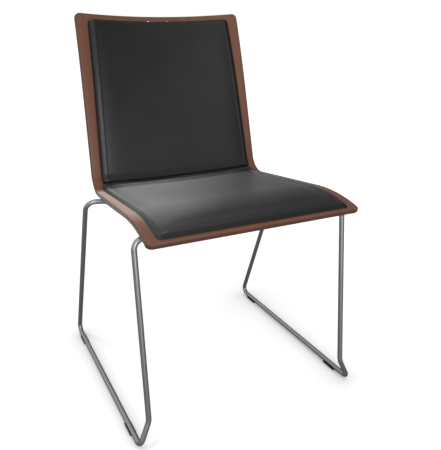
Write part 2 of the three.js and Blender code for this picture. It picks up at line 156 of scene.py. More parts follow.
def profile_at(s):
    """Place and heading of the side edge after walking s from the front edge of the seat."""
    s = np.asarray(s, float)
    y = np.full_like(s, -SHELL_MIDDLE_Y)
    z = np.full_like(s, SEAT_FRONT_HEIGHT)
    heading = np.full_like(s, FRONT_RISE)
    left = s.copy()
    for length, curve in PROFILE:
        run = left if length is LENGTHS[-1] else np.minimum(left, length)
        turned = heading + run * curve
        if curve == 0:
            y = y + run * np.cos(heading)
            z = z + run * np.sin(heading)
        else:
            y = y + (np.sin(turned) - np.sin(heading)) / curve
            z = z + (np.cos(heading) - np.cos(turned)) / curve
        heading = turned
        left = left - run
    return y, z, heading


print("length of the sheet:", round(SHELL_LENGTH, 4))

# %% Widths, hollow, and the mould that bends a flat panel
FRONT_WIDTH = 448 * MM
CROOK_WIDTH = 421 * MM
TOP_WIDTH = 397.2 * MM
CROOK_HOLLOW = 9 * MM
TOP_HOLLOW = 28 * MM
SEAT_HOLLOW_POWER = 1.5
BACK_HOLLOW_POWER = 1.25
PROBE = 0.1 * MM


def half_width(s):
    seat = FRONT_WIDTH + (CROOK_WIDTH - FRONT_WIDTH) * s / CROOK_MIDDLE
    back = CROOK_WIDTH + (TOP_WIDTH - CROOK_WIDTH) * (s - CROOK_MIDDLE) / (SHELL_LENGTH - CROOK_MIDDLE)
    return np.where(s < CROOK_MIDDLE, seat, back) / 2


def hollow_at(s):
    seat = CROOK_HOLLOW * (np.maximum(s, 0) / CROOK_END) ** SEAT_HOLLOW_POWER
    share = np.maximum(s - CROOK_END, 0) / (SHELL_LENGTH - CROOK_END)
    back = CROOK_HOLLOW + (TOP_HOLLOW - CROOK_HOLLOW) * share**BACK_HOLLOW_POWER
    return np.where(s < CROOK_END, seat, back)


def sheet_point(x, s):
    y, z, heading = profile_at(s)
    depth = hollow_at(s) * (1 - (x / half_width(s)) ** 2)
    return np.stack([x, y + depth * np.sin(heading), z - depth * np.cos(heading)], -1)


def sheet_axes(x, s):
    """The directions across, along and out of the sheet, towards the sitter."""
    across = sheet_point(x + PROBE, s) - sheet_point(x - PROBE, s)
    along = sheet_point(x, s + PROBE) - sheet_point(x, s - PROBE)
    across /= np.linalg.norm(across, axis=-1, keepdims=True)
    out = np.cross(across, along)
    out /= np.linalg.norm(out, axis=-1, keepdims=True)
    return across, np.cross(out, across), out


def on_sheet(flat):
    x, s, height = flat[:, 0], flat[:, 1], flat[:, 2]
    return sheet_point(x, s) + sheet_axes(x, s)[2] * height[:, None]


def mould(piece):
    """Bends a piece that was laid out flat. Its flat place stays on it, for grain and layers."""
    flat = points_of(piece)
    stored = piece.data.attributes.new("flat", "FLOAT_VECTOR", "POINT")
    stored.data.foreach_set("vector", flat.astype(np.float32).ravel())
    set_points(piece, on_sheet(flat))


def standing_frame(x, s, height):
    """A matrix that stands a piece on the sheet at one place."""
    at = np.array([[x, s, height]], float)
    across, along, out = (axis[0] for axis in sheet_axes(at[:, 0], at[:, 1]))
    matrix = Matrix((across, along, out)).transposed().to_4x4()
    matrix.translation = Vector(on_sheet(at)[0])
    return matrix


top_edge = sheet_point(np.array([0.0]), np.array([SHELL_LENGTH]))[0]
print("top edge:", [round(float(value), 4) for value in top_edge])

# %% [markdown]
# ## Laying out a panel flat
# The shell and both pads are the same kind of thing: a tapered sheet with round corners and a shaped edge.
# A grid is extruded upwards once for each ring of that edge, so that the block has one wall loop per ring.
# Each vertex then goes to its place in the outline, drawn in by the ring's inset, at the ring's height.
# Bevelled cubes would be quicker, but their edges can't roll, crease and taper as sewn edges do.

# %% Rows of an outline with round corners
CORNER_ROWS = 6


def spaced_rows(panel, start_inset, end_inset):
    """Places of the rows along a panel, and how far each row is drawn in by the corners."""
    quarter = np.linspace(0, math.pi / 2, CORNER_ROWS + 1)
    start_radius = max(panel["start_corner"] - start_inset, panel["least_corner"])
    end_radius = max(panel["end_corner"] - end_inset, panel["least_corner"])
    first = panel["start"] + start_inset
    last = panel["end"] - end_inset
    opening = first + start_radius * (1 - np.cos(quarter))
    closing = last - end_radius * (1 - np.cos(quarter[::-1]))
    middle = np.linspace(opening[-1], closing[0], panel["rows"] - 2 * CORNER_ROWS + 1)
    rows = np.concatenate([opening[:-1], middle, closing[1:]])
    drawn = np.zeros_like(rows)
    drawn[: CORNER_ROWS + 1] = start_radius * (1 - np.sin(quarter))
    drawn[-CORNER_ROWS - 1 :] = end_radius * (1 - np.sin(quarter[::-1]))
    return rows, drawn


def lay_out(name, panel, rings):
    """A closed flat panel. Each ring gives its inset at the sides, start and end, and its height."""
    bpy.ops.mesh.primitive_grid_add(
        x_subdivisions=panel["columns"], y_subdivisions=panel["rows"], size=2, location=(0, 0, 0)
    )
    piece = named(name)
    edit_all()
    for _ in rings[1:]:
        bpy.ops.mesh.extrude_region_move(TRANSFORM_OT_translate={"value": (0, 0, 1)})
    bpy.ops.mesh.select_all(action="SELECT")
    bpy.ops.mesh.normals_make_consistent(inside=False)
    leave_edit_mode()
    block = points_of(piece)
    ring_of = np.rint(block[:, 2]).astype(int)
    row_of = np.rint((block[:, 1] + 1) / 2 * panel["rows"]).astype(int)
    flat = np.zeros_like(block)
    for index, ring in enumerate(rings):
        here = ring_of == index
        rows, drawn = spaced_rows(panel, ring["start"], ring["end"])
        s = rows[row_of[here]]
        half = panel["half_width"](s) - ring["side"](s) - drawn[row_of[here]]
        flat[here] = np.stack([block[here, 0] * half, s, np.full_like(s, ring["height"])], -1)
    set_points(piece, flat)
    piece["rings"] = len(rings)
    return piece, ring_of


def even_ring(inset, height):
    return {"side": lambda s: inset, "start": inset, "end": inset, "height": height}


# %% [markdown]
# ## The plywood shell
# The board is 10 mm thick, and its arrises are rounded by 2.5 mm all round, as a router bit leaves them.
# The rings of its edge walk round that rounding from the underside to the face.
# The bore of each threaded insert is hidden by the plates, so the board is left whole here.

# %% Model the shell flat, and mould it
SHELL_THICKNESS = 10 * MM
EDGE_ROUND = 2.5 * MM
ROUND_STEPS = 4
SHELL_FRONT_CORNER = 11.5 * MM
SHELL_TOP_CORNER = 11 * MM
SHELL_COLUMNS = 30
SHELL_ROWS = 132
shell_panel = {
    "start": 0.0,
    "end": SHELL_LENGTH,
    "start_corner": SHELL_FRONT_CORNER,
    "end_corner": SHELL_TOP_CORNER,
    "least_corner": 1 * MM,
    "half_width": half_width,
    "columns": SHELL_COLUMNS,
    "rows": SHELL_ROWS,
}
arris = []
for step in range(ROUND_STEPS + 1):
    turn = math.pi / 2 * step / ROUND_STEPS
    arris.append((EDGE_ROUND * (1 - math.sin(turn)), EDGE_ROUND * (1 - math.cos(turn))))
lower_arris = [even_ring(inset, rise - SHELL_THICKNESS) for inset, rise in arris]
upper_arris = [even_ring(inset, -rise) for inset, rise in reversed(arris)]
shell, _ = lay_out("walnut_shell", shell_panel, lower_arris + upper_arris)
mould(shell)
smooth(shell, 40)
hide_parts("seat_shell")
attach(shell, "root")
print("shell faces:", len(shell.data.polygons))

# %% [markdown]
# ## The pads
# Each pad is a thin foam layer under a tight cover. The edge of the cover rises from the wood and rolls
# over a rounded ridge. Along the sides of the seat a shallow valley lies behind the ridge, and on the back
# a fine crease. The field is swollen by a cloth simulation: all up to the last ring is held, gravity is off,
# and air pressure lifts the field until it crowns, as the foam lifts a real cover. The swelling happens
# flat, where it is simple. The seat pad is then filled out along its front and at the bend of the board, and
# the mould bends both pads into the shell. A sculpted surface could have the same look, but the simulation
# gives a crown that falls off evenly towards every edge.

# %% Outlines of the two pads
PAD_JOINT = CROOK_START + CROOK * math.radians(42)
SEAT_PAD_START = 9.5 * MM
JOINT_OVERLAP = 1 * MM
SEAT_PAD_END = PAD_JOINT + JOINT_OVERLAP
BACK_PAD_START = PAD_JOINT - JOINT_OVERLAP
BACK_PAD_END = SHELL_LENGTH - 13 * MM
OUTER_CORNER = 10 * MM
INNER_CORNER = 9 * MM
FIELD_CORNER = 3 * MM
CELL = 7 * MM


def between(start, end, at_start, at_end):
    """A size that changes evenly from the start of a pad to its end."""
    return lambda s: at_start + (at_end - at_start) * (s - start) / (end - start)


def pad_panel(start, end, margin, start_corner, end_corner):
    return {
        "start": start,
        "end": end,
        "start_corner": start_corner,
        "end_corner": end_corner,
        "least_corner": FIELD_CORNER,
        "half_width": lambda s: half_width(s) - margin(s),
        "columns": round(FRONT_WIDTH / CELL / 2) * 2,
        "rows": round((end - start) / CELL / 2) * 2,
    }


seat_margin = between(SEAT_PAD_START, SEAT_PAD_END, 21.4 * MM, 16 * MM)
back_margin = between(BACK_PAD_START, BACK_PAD_END, 19.2 * MM, 25 * MM)
seat_panel = pad_panel(SEAT_PAD_START, SEAT_PAD_END, seat_margin, OUTER_CORNER, INNER_CORNER)
back_panel = pad_panel(BACK_PAD_START, BACK_PAD_END, back_margin, INNER_CORNER, OUTER_CORNER)
print("grid of the seat pad:", seat_panel["columns"], "by", seat_panel["rows"])

# %% Sections of the two sewn edges
PAD_CLEARANCE = 0.3 * MM
BOARD_RECESS_INSET = 13 * MM
BOARD_RECESS_HEIGHT = 3.8 * MM
PAD_TUCK = 0.8 * MM
SEAT_SECTION = [
    (0, 0.2), (0.05, 0.3), (0.12, 0.41), (0.22, 0.55), (0.34, 0.7), (0.48, 0.83), (0.62, 0.93),
    (0.76, 0.99), (0.88, 1), (1, 0.955), (1.15, 0.86), (1.35, 0.77), (1.6, 0.74), (1.9, 0.78),
    (2.3, 0.9), (2.7, 1.04), (2.9, 1.1),
]
BACK_SECTION = [
    (0, 0.1), (0.012, 0.25), (0.035, 0.4), (0.075, 0.54), (0.135, 0.665), (0.215, 0.765), (0.32, 0.83),
    (0.45, 0.875), (0.6, 0.92), (0.76, 0.965), (0.9, 1), (1, 0.98), (1.07, 0.98),
]


def pad_rings(section, height, side_width, start_width, end_width):
    """Four rings go under the board's rim and up to the seam, and the others follow the section."""
    rings = [
        even_ring(BOARD_RECESS_INSET, BOARD_RECESS_HEIGHT),
        even_ring(BOARD_RECESS_INSET, PAD_CLEARANCE),
        even_ring(PAD_TUCK * 2, PAD_CLEARANCE),
        even_ring(PAD_TUCK, PAD_CLEARANCE * 1.7),
    ]
    for share, rise in section:
        rings.append({
            "side": lambda s, share=share: share * side_width(s),
            "start": share * start_width,
            "end": share * end_width,
            "height": height * rise,
        })
    return rings


# %% Swell the field with air pressure
PRESSURE = 4
SWELL_FRAMES = 20
SIDE_SLIP = 0.5
SEAT_CROWN = 3.4 * MM
BACK_CROWN = 2 * MM


def swell(piece, ring_of, crown):
    """Cloth is held at the crease and free in the field. The rise is capped softly at the crown."""
    before = points_of(piece)
    held = piece.vertex_groups.new(name="held")
    edge_rows = set()
    for face in piece.data.polygons:
        if min(ring_of[index] for index in face.vertices) < piece["rings"] - 1:
            edge_rows.update(face.vertices)
    held.add(sorted(edge_rows), 1, "REPLACE")
    cloth = new_modifier(piece, "CLOTH")
    cloth.settings.vertex_group_mass = "held"
    cloth.settings.use_pressure = True
    cloth.settings.uniform_pressure_force = PRESSURE
    cloth.settings.quality = 6
    cloth.settings.mass = 0.35
    cloth.settings.tension_stiffness = 12
    cloth.settings.compression_stiffness = 12
    cloth.settings.shear_stiffness = 6
    cloth.settings.bending_stiffness = 0.6
    cloth.settings.effector_weights.gravity = 0
    cloth.point_cache.frame_start = 1
    cloth.point_cache.frame_end = SWELL_FRAMES
    for moment in range(1, SWELL_FRAMES + 1):
        bpy.context.scene.frame_set(moment)
    apply_modifier(cloth)
    bpy.context.scene.frame_set(1)
    moved = points_of(piece) - before
    rise = np.maximum(moved[:, 2], 0)
    moved[:, :2] *= SIDE_SLIP
    moved[:, 2] = crown * np.tanh(rise / crown)
    free = np.ones(len(before), bool)
    free[sorted(edge_rows)] = False
    set_points(piece, before + moved * free[:, None])
    print(piece.name, "swells by up to", round(float(rise.max()) * 1000, 2), "mm, capped at", crown * 1000)


# %% Fill out the seat pad
SEAT_PAD_HEIGHT = 5.3 * MM
SEAT_SHOULDER = 10.5 * MM
FRONT_SHOULDER = 13 * MM
CROOK_FILL = 0.25
CROOK_FILL_LENGTH = 34 * MM
RIDGE = 0.88
VALLEY_END = 2.9
FRONT_FILL_END = 6
FRONT_FILL_LEVELS = (1, 1.12, 0.7)
RINGS_BEHIND_RIDGE = 9


def gentle(share):
    """Goes from 0 to 1 with no kink at either end."""
    share = np.clip(share, 0, 1)
    return share * share * (3 - 2 * share)


def fill_out(pad, ring_of):
    """Levels the valley along the front and thickens the pad at the bend, in shares of a shoulder."""
    points = points_of(pad)
    x, s, height = points.T
    behind = (s - SEAT_PAD_START) / FRONT_SHOULDER
    inside = (half_width(s) - seat_margin(s) - np.abs(x)) / SEAT_SHOULDER
    level = SEAT_PAD_HEIGHT * np.interp(behind, [RIDGE, VALLEY_END, FRONT_FILL_END], FRONT_FILL_LEVELS)
    fades = gentle((inside - 0.9) / 2) * gentle((FRONT_FILL_END - behind) / 3)
    on_top = (ring_of >= pad["rings"] - RINGS_BEHIND_RIDGE) & (behind > RIDGE)
    points[:, 2] = height + np.maximum(level - height, 0) * fades * on_top
    points[:, 2] *= 1 + CROOK_FILL * gentle((s - SEAT_PAD_END) / CROOK_FILL_LENGTH + 1)
    set_points(pad, points)


print("the valley is filled up to", round(FRONT_FILL_END * FRONT_SHOULDER, 4), "behind the front edge")

# %% Make both pads
def make_pad(name, node, panel, rings, crown):
    pad, ring_of = lay_out(name, panel, rings)
    swell(pad, ring_of, crown)
    if node == "seat_pad":
        fill_out(pad, ring_of)
    subdivision = new_modifier(pad, "SUBSURF")
    subdivision.levels = 1
    subdivision.render_levels = 1
    apply_modifier(subdivision)
    mould(pad)
    only(pad)
    bpy.ops.object.shade_smooth()
    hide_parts(node)
    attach(pad, "root")
    print(name, "has", len(pad.data.polygons), "faces")
    return pad


BACK_PAD_HEIGHT = 14 * MM
TOP_SHOULDER = 11 * MM
back_shoulder = between(PAD_JOINT, BACK_PAD_END, 13 * MM, 12.5 * MM)
seat_rings = pad_rings(SEAT_SECTION, SEAT_PAD_HEIGHT, lambda s: SEAT_SHOULDER, FRONT_SHOULDER, 4 * MM)
back_rings = pad_rings(BACK_SECTION, BACK_PAD_HEIGHT, back_shoulder, 4.5 * MM, TOP_SHOULDER)
seat_pad = make_pad("seat_cushion", "seat_pad", seat_panel, seat_rings, SEAT_CROWN)
back_pad = make_pad("back_cushion", "back_pad", back_panel, back_rings, BACK_CROWN)

# %% [markdown]
# ## The bent steel rods
# Each side frame is one round rod, bent on a machine: straight runs, and turns of a set radius between them.
# A circle is extruded along each straight and spun round each bend, which is how the bender makes it too.
# A bevelled curve would be shorter to write, but its bends would be splines and not true arcs.

# %% Bend a rod through its corner points
ROD = 5.5 * MM
ROD_SIDES = 28
SPIN_STEP = math.radians(9)


def bend_rod(name, corners):
    """Corners are pairs of a point and a bend radius, with no bend at the ends. Spin turns clockwise."""
    places = [Vector(place) for place, bend in corners]
    heading = (places[1] - places[0]).normalized()
    turn = Vector((0, 0, 1)).rotation_difference(heading).to_euler()
    bpy.ops.object.select_all(action="DESELECT")
    bpy.ops.mesh.primitive_circle_add(vertices=ROD_SIDES, radius=ROD, location=places[0], rotation=turn)
    rod = named(name)
    apply_transform()
    edit_all()
    reached = places[0]
    for index in range(1, len(corners) - 1):
        corner = places[index]
        onward = (places[index + 1] - corner).normalized()
        angle = heading.angle(onward)
        radius = corners[index][1]
        start = corner - heading * radius * math.tan(angle / 2)
        side = (onward - heading * math.cos(angle)).normalized()
        bpy.ops.mesh.extrude_edges_move(TRANSFORM_OT_translate={"value": start - reached})
        steps = max(math.ceil(angle / SPIN_STEP), 3)
        axis = heading.cross(side)
        bpy.ops.mesh.spin(steps=steps, angle=-angle, center=start + side * radius, axis=axis)
        reached = corner + onward * radius * math.tan(angle / 2)
        heading = onward
    bpy.ops.mesh.extrude_edges_move(TRANSFORM_OT_translate={"value": places[-1] - reached})
    choose("EDGE", lambda edge: edge.is_boundary)
    bpy.ops.mesh.edge_face_add()
    bpy.ops.mesh.select_mode(type="VERT")
    bpy.ops.mesh.select_all(action="SELECT")
    bpy.ops.mesh.remove_doubles(threshold=MERGE)
    bpy.ops.mesh.normals_make_consistent(inside=False)
    leave_edit_mode()
    smooth(rod, 50)
    return rod


print("steps in a right-angle bend:", math.ceil(math.radians(90) / SPIN_STEP))

# %% [markdown]
# ## The two side frames
# A side frame is a closed loop of one rod: the rail under the seat, the front leg with its crank above the
# foot, the runner on the floor, and the leaning rear leg. The two ends meet in the middle of the rail.
# Heights under the seat are worked out from the underside of the shell, so the rods lie close below it.

# %% Where the rods lie under the seat
SOLE = 3 * MM
RUNNER_HEIGHT = ROD + SOLE
RAIL_X = 200 * MM
FOOT_SETBACK = 23.3 * MM
PLATE_THICKNESS = 2.6 * MM
PLATE_CLEARANCE = 0.3 * MM
PLATE_LIFT = PLATE_THICKNESS + 0.85 * MM
FRONT_PLATE_SETBACK = 125 * MM
REAR_PLATE_SETBACK = 283 * MM
REAR_ARM_SETBACK = 313 * MM


def walk_to(setback):
    """The length along the side edge at which the seat reaches a setback from its front edge."""
    low, high = 0.0, CROOK_START
    for _ in range(40):
        middle = (low + high) / 2
        if float(profile_at(middle)[0]) + SHELL_MIDDLE_Y < setback:
            low = middle
        else:
            high = middle
    return (low + high) / 2


def underside(x, setback):
    return float(on_sheet(np.array([[x, walk_to(setback), -SHELL_THICKNESS]]))[0, 2])


REAR_ARM = FOOT_SETBACK + REAR_ARM_SETBACK
FRONT_PLATE = FOOT_SETBACK + FRONT_PLATE_SETBACK
RAIL_REAR_Z = underside(RAIL_X - ROD, REAR_ARM) - PLATE_CLEARANCE - ROD
RAIL_PLATE_Z = underside(RAIL_X, FRONT_PLATE) - PLATE_LIFT - ROD
RAIL_SLOPE = (RAIL_PLATE_Z - RAIL_REAR_Z) / (REAR_ARM - FRONT_PLATE)


def rail_height(setback):
    return RAIL_REAR_Z + RAIL_SLOPE * (REAR_ARM - setback)


print("rail height at its rear end:", round(RAIL_REAR_Z, 4))

# %% Bend both side frames
RUNNER_X = 249.5 * MM
LEG_X = 228 * MM
SHOULDER_X = 244.7 * MM
RUNNER_LENGTH = 495.4 * MM
WELD = FOOT_SETBACK + 205 * MM
WELD_GAP = 0.15 * MM
FRONT_ARM = FOOT_SETBACK + 40 * MM
FRONT_ARM_Z = underside(RAIL_X, FRONT_ARM) - 14 * MM
SHOULDER_Z = underside(RAIL_X, REAR_ARM) - 1.7 * MM
RAIL_KINK = FOOT_SETBACK + 108 * MM
CRANK = (FOOT_SETBACK + 5 * MM, RUNNER_HEIGHT + 48.7 * MM)


def from_front(x, setback, z):
    """A place given by its setback from the front edge of the seat, in the chair's own frame."""
    return (x, setback - SHELL_MIDDLE_Y, z)


def side_frame(name, side):
    """Each corner is a place and the radius of its bend."""
    corners = [
        (RAIL_X, WELD - WELD_GAP, rail_height(WELD), 0),
        (RAIL_X, RAIL_KINK, rail_height(RAIL_KINK), 80 * MM),
        (RAIL_X, FRONT_ARM, FRONT_ARM_Z, 12 * MM),
        (LEG_X, FRONT_ARM, FRONT_ARM_Z, 19 * MM),
        (LEG_X, *CRANK, 34 * MM),
        (RUNNER_X, FOOT_SETBACK, RUNNER_HEIGHT, 13 * MM),
        (RUNNER_X, FOOT_SETBACK + RUNNER_LENGTH, RUNNER_HEIGHT, 15 * MM),
        (SHOULDER_X, REAR_ARM, SHOULDER_Z, 21 * MM),
        (RAIL_X, REAR_ARM, RAIL_REAR_Z, 12 * MM),
        (RAIL_X, WELD + WELD_GAP, rail_height(WELD), 0),
    ]
    return bend_rod(name, [(from_front(side * x, setback, z), bend) for x, setback, z, bend in corners])


SIDES = (("left", -1), ("right", 1))
rods = []
for side_name, side in SIDES:
    rod = side_frame(f"{side_name}_side_frame", side)
    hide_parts(f"{side_name}_sled_rod")
    rods.append(rod)
print("faces of a side frame:", len(rods[0].data.polygons))

# %% [markdown]
# ## The cross rods
# Two rods tie the side frames together. Each dips in the middle, to clear the hollow of the seat.
# Their ends are welded to the rails, and a bead of weld fills the corner all round.

# %% Bend the cross rods
CROSS_SETBACKS = {"front_cross_rod": 152 * MM, "rear_cross_rod": 256 * MM}
CROSS_DROP = 15 * MM
CROSS_CRANK_X = RAIL_X - 42 * MM
CROSS_SLOPE = CROSS_DROP / (RAIL_X - CROSS_CRANK_X)
CROSS_BEND = 22 * MM
CROSS_INSET = ROD * 0.6
BEAD = 1.7 * MM
BEAD_WRAP = 0.98
BEAD_LEAST = 0.12
RIPPLE = 0.05
RIPPLES = 13


def cross_rod(node, setback):
    spot = FOOT_SETBACK + setback
    end = (RAIL_X - CROSS_INSET, rail_height(spot) - CROSS_INSET * CROSS_SLOPE, 0)
    crank = (CROSS_CRANK_X, rail_height(spot) - CROSS_DROP, CROSS_BEND)
    halves = [(-1, end), (-1, crank), (1, crank), (1, end)]
    corners = [(from_front(side * x, spot, z), bend) for side, (x, z, bend) in halves]
    rod = bend_rod(f"{node}_bent", corners)
    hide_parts(node)
    return rod


def weld_bead(name, side, setback):
    """A ring of weld where a cross rod meets its rail. It lies back along the rail's round side."""
    spot = FOOT_SETBACK + setback
    centre = Vector(from_front(side * RAIL_X, spot, rail_height(spot)))
    bpy.ops.object.select_all(action="DESELECT")
    sizes = {"major_radius": ROD, "minor_radius": BEAD, "major_segments": 32, "minor_segments": 10}
    bpy.ops.mesh.primitive_torus_add(rotation=(0, math.pi / 2, 0), **sizes)
    bead = named(name)
    apply_transform()
    ring = points_of(bead)
    around = np.arctan2(ring[:, 2], ring[:, 1])
    reach = ROD * np.sqrt(np.maximum(1 - (np.sin(around) * BEAD_WRAP) ** 2, BEAD_LEAST))
    ring[:, 0] = ring[:, 0] * (1 + RIPPLE * np.sin(around * RIPPLES)) - side * reach
    ring[:, 2] -= np.abs(ring[:, 0]) * CROSS_SLOPE
    set_points(bead, ring + np.array(centre))
    only(bead)
    bpy.ops.object.shade_smooth()
    return bead


beads = []
for node, setback in CROSS_SETBACKS.items():
    rods.append(cross_rod(node, setback))
    for side_name, side in SIDES:
        beads.append(weld_bead(f"{node}_{side_name}_weld", side, setback))
for piece in rods + beads:
    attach(piece, "root")
print("cross rods and welds:", [piece.name for piece in rods[2:] + beads])

# %% [markdown]
# ## The glides
# A glide is a small moulded saddle that clips on the runner from below and ends in a flat sole.
# It starts as a cylinder round the rod with a block for the sole, from which the rod's own bore is cut.
# Its mouth is opened by a bisect, and every edge gets the small rounding that a mould leaves.

# %% Model one glide, and copy it to the four places
GLIDE_LENGTH = 38 * MM
GLIDE_WALL = 1.9 * MM
GLIDE_SOLE = 11.2 * MM
GLIDE_LIP = math.radians(-16)
GLIDE_ROUND = 0.5 * MM
SOLE_OVERLAP = 0.55
BORE_EXCESS = 1.2
GLIDE_SETBACKS = {"front": 64 * MM, "rear": 441 * MM}


def join_solid(piece, tool, how):
    boolean = new_modifier(piece, "BOOLEAN")
    boolean.operation = how
    boolean.object = tool
    boolean.solver = "EXACT"
    apply_modifier(boolean)
    bpy.data.objects.remove(tool)


def round_edges(piece, width):
    bevel = new_modifier(piece, "BEVEL")
    bevel.width = width
    bevel.segments = 3
    bevel.limit_method = "ANGLE"
    bevel.angle_limit = math.radians(30)
    apply_modifier(bevel)
    smooth(piece, 35)


def tidy_faces(piece):
    only(piece)
    edit_all()
    bpy.ops.mesh.remove_doubles(threshold=MERGE)
    bpy.ops.mesh.dissolve_limited(angle_limit=math.radians(1))
    bpy.ops.mesh.normals_make_consistent(inside=False)
    leave_edit_mode()


def model_glide():
    lying = (math.radians(90), 0, 0)
    bpy.ops.object.select_all(action="DESELECT")
    outer = ROD + PLATE_CLEARANCE + GLIDE_WALL
    bpy.ops.mesh.primitive_cylinder_add(vertices=48, radius=outer, depth=GLIDE_LENGTH, rotation=lying)
    glide = named("glide_model")
    apply_transform()
    sole_top = -outer * SOLE_OVERLAP
    bpy.ops.mesh.primitive_cube_add(size=1, location=(0, 0, (sole_top - RUNNER_HEIGHT) / 2))
    sole = named("glide_sole")
    sole.scale = (GLIDE_SOLE, GLIDE_LENGTH, RUNNER_HEIGHT + sole_top)
    apply_transform()
    join_solid(glide, sole, "UNION")
    bpy.ops.mesh.primitive_cylinder_add(
        vertices=48, radius=ROD + PLATE_CLEARANCE, depth=GLIDE_LENGTH * BORE_EXCESS, rotation=lying
    )
    join_solid(glide, named("glide_bore"), "DIFFERENCE")
    only(glide)
    edit_all()
    lip = math.sin(GLIDE_LIP) * outer
    bpy.ops.mesh.bisect(plane_co=(0, 0, lip), plane_no=(0, 0, 1), clear_outer=True, use_fill=True)
    leave_edit_mode()
    tidy_faces(glide)
    round_edges(glide, GLIDE_ROUND)
    return glide


def copy_of(model, name, matrix):
    piece = model.copy()
    piece.data = model.data.copy()
    piece.name = name
    piece.data.name = name
    bpy.context.scene.collection.objects.link(piece)
    piece.data.transform(matrix)
    return piece


glide_model = model_glide()
glides = []
for side_name, side in SIDES:
    for end, setback in GLIDE_SETBACKS.items():
        spot = from_front(side * RUNNER_X, FOOT_SETBACK + setback, RUNNER_HEIGHT)
        glide = copy_of(glide_model, f"{end}_{side_name}_saddle", Matrix.Translation(spot))
        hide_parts(f"{end}_{side_name}_glide")
        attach(glide, "root")
        glides.append(glide)
bpy.data.objects.remove(glide_model)
print("faces of a glide:", len(glides[0].data.polygons))

# %% [markdown]
# ## The screws
# Four button-head screws hold the shell, one through each mounting plate. The CAD has them with twelve
# sides. Here the head starts as a cylinder, a wide bevel on one rim makes its dome, and a six-sided bore
# its socket.

# %% Model one screw, and stand it under each plate
SCREW_HEAD = 5.25 * MM
SCREW_RISE = 3.3 * MM
SCREW_SHANK = 3 * MM
SCREW_LENGTH = 10.4 * MM
SOCKET = 2.3 * MM
SOCKET_DEPTH = 2 * MM
SCREW_INSET = 20 * MM


def model_screw():
    bpy.ops.object.select_all(action="DESELECT")
    bpy.ops.mesh.primitive_cylinder_add(
        vertices=36, radius=SCREW_HEAD, depth=SCREW_RISE, location=(0, 0, -SCREW_RISE / 2)
    )
    screw = named("screw_model")
    apply_transform()
    edit_all()
    choose("EDGE", lambda edge: all(vert.co.z < -SCREW_RISE * 0.9 for vert in edge.verts))
    bpy.ops.mesh.bevel(offset=SCREW_RISE * 0.8, segments=7, profile=0.5, affect="EDGES")
    choose("FACE", lambda face: face.normal.z > 0.9)
    bpy.ops.mesh.inset(thickness=SCREW_HEAD - SCREW_SHANK)
    bpy.ops.mesh.extrude_region_move(TRANSFORM_OT_translate={"value": (0, 0, SCREW_LENGTH)})
    leave_edit_mode()
    bpy.ops.mesh.primitive_cylinder_add(
        vertices=6, radius=SOCKET, depth=2 * SOCKET_DEPTH, location=(0, 0, -SCREW_RISE)
    )
    join_solid(screw, named("screw_socket"), "DIFFERENCE")
    smooth(screw, 30)
    return screw


screw_model = model_screw()
screws = []
for end, setback in (("front", FRONT_PLATE_SETBACK), ("rear", REAR_PLATE_SETBACK)):
    for side_name, side in SIDES:
        s = walk_to(FOOT_SETBACK + setback)
        height = -SHELL_THICKNESS - 2 * PLATE_CLEARANCE - PLATE_THICKNESS
        place = standing_frame(side * (RAIL_X - SCREW_INSET), s, height)
        screw = copy_of(screw_model, f"{end}_{side_name}_button_screw", place)
        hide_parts(f"{end}_{side_name}_screw")
        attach(screw, "root")
        screws.append(screw)
bpy.data.objects.remove(screw_model)
print("faces of a screw:", len(screws[0].data.polygons))

# %% [markdown]
# ## Finishes
# Colours are written as they look on a screen, from 0 to 255, and turned into linear light here.
# Patterns read either the flat place that the mould left on a piece, so that grain runs along the bent
# sheet, or the Object coordinates, which are the chair's own metres.

# %% Helpers for node materials
def paint(red, green, blue):
    linear = [((v / 255 + 0.055) / 1.055) ** 2.4 if v > 10 else v / 255 / 12.92 for v in (red, green, blue)]
    return (*linear, 1.0)


def tune(shader, **levels):
    """Sets inputs of the shader by name, with underscores for the spaces."""
    for name, level in levels.items():
        shader.inputs[name.replace("_", " ")].default_value = level


def new_finish(name, colour, roughness, metallic=0.0):
    material = bpy.data.materials.new(name)
    material.use_nodes = True
    shader = material.node_tree.nodes["Principled BSDF"]
    tune(shader, Base_Color=colour, Roughness=roughness, Metallic=metallic)
    return material, shader


def dress(piece, finish):
    piece.data.materials.clear()
    piece.data.materials.append(finish)


def add(material, kind, values=None, **settings):
    """A new node. Inputs are set by name or number, and settings are the node's own properties."""
    made = material.node_tree.nodes.new(kind)
    for key, value in settings.items():
        setattr(made, key, value)
    for key, value in (values or {}).items():
        made.inputs[key].default_value = value
    return made


def wire(material, source, target):
    material.node_tree.links.new(source, target)


def stretched_noise(material, place, scale, detail, roughness, distortion=0.0):
    """Noise whose grains are stretched, by a scale for each direction in features per metre."""
    mapping = add(material, "ShaderNodeMapping", {"Scale": scale})
    levels = {"Scale": 1.0, "Detail": detail, "Roughness": roughness, "Distortion": distortion}
    noise = add(material, "ShaderNodeTexNoise", levels)
    wire(material, place, mapping.inputs["Vector"])
    wire(material, mapping.outputs["Vector"], noise.inputs["Vector"])
    return noise.outputs["Fac"]


def ramp(material, source, stops):
    """A colour ramp from pairs of a position and a colour."""
    made = add(material, "ShaderNodeValToRGB")
    elements = made.color_ramp.elements
    while len(elements) < len(stops):
        elements.new(0.5)
    for element, (position, colour) in zip(elements, stops):
        element.position = position
        element.color = colour
    wire(material, source, made.inputs["Fac"])
    return made.outputs["Color"]


def grey(value):
    return (value, value, value, 1.0)


def math_node(material, operation, first, second):
    made = add(material, "ShaderNodeMath", operation=operation)
    for index, value in enumerate((first, second)):
        if isinstance(value, (int, float)):
            made.inputs[index].default_value = value
        else:
            wire(material, value, made.inputs[index])
    return made.outputs["Value"]


